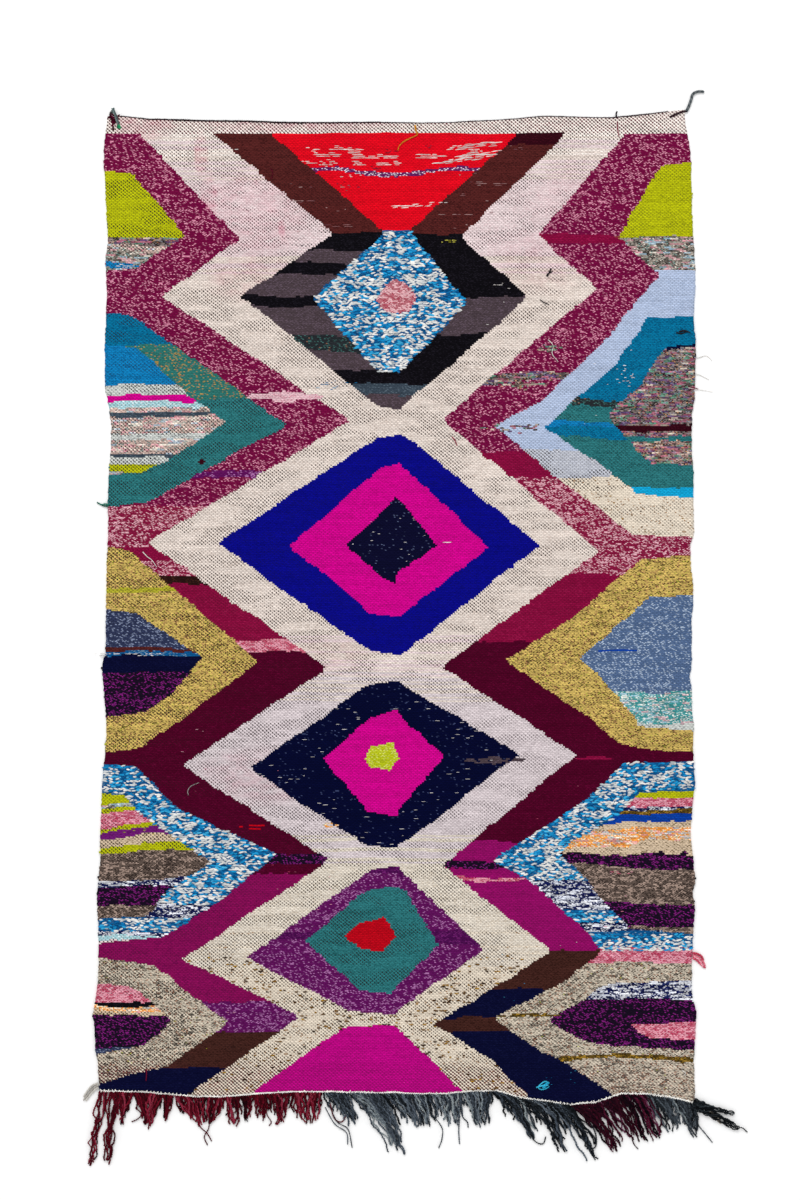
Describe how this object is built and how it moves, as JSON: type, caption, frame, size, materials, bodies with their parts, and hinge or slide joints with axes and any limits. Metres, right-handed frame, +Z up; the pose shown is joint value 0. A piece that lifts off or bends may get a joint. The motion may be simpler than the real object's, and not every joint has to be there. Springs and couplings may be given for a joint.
{
  "type": "boucherouite rug",
  "caption": "Flat rag-woven rug with stepped diamonds and side chevrons, a twined header, a long cut fringe at the lower end and twisted corner ends.",
  "frame": {"origin": "the middle of the rug's whole reach, fringe and side ends included and the twisted corner tie left out, on the floor that the rug lies on", "axes": "+X to the rug's right across the weave, +Y along the rug towards its ivory header, +Z up off the floor"},
  "size_m": [1.627, 2.6318, 0.0144],
  "materials": {
    "woven_rags": "weft-faced weave of cotton rag strips and wool yarns in many colours, matt",
    "dark_yarn": "twined wool yarn, nearly black, matt",
    "white_yarn": "twined cotton yarn, white, matt",
    "wine_fringe": "plied wool warp ends, dark wine red, matt",
    "grey_fringe": "plied wool warp ends, slate grey, matt",
    "grey_tie": "two-ply twisted grey and pale yarn, matt",
    "pink_rag": "loose pink and crimson rag ends, matt",
    "green_rag": "loose dark green weft end, matt"
  },
  "bodies": {
    "root": {"woven_cloth": "woven_rags", "top_twining": "dark_yarn", "end_twining": "white_yarn", "fringe_red_left": "wine_fringe", "fringe_grey_middle": "grey_fringe", "fringe_red_right": "wine_fringe", "fringe_grey_right": "grey_fringe", "corner_bundle": "grey_fringe", "corner_tie": "grey_tie", "corner_knot": "dark_yarn", "pink_tail": "pink_rag", "green_tail": "green_rag", "grey_tail": "grey_tie"}
  },
  "joints": []
}
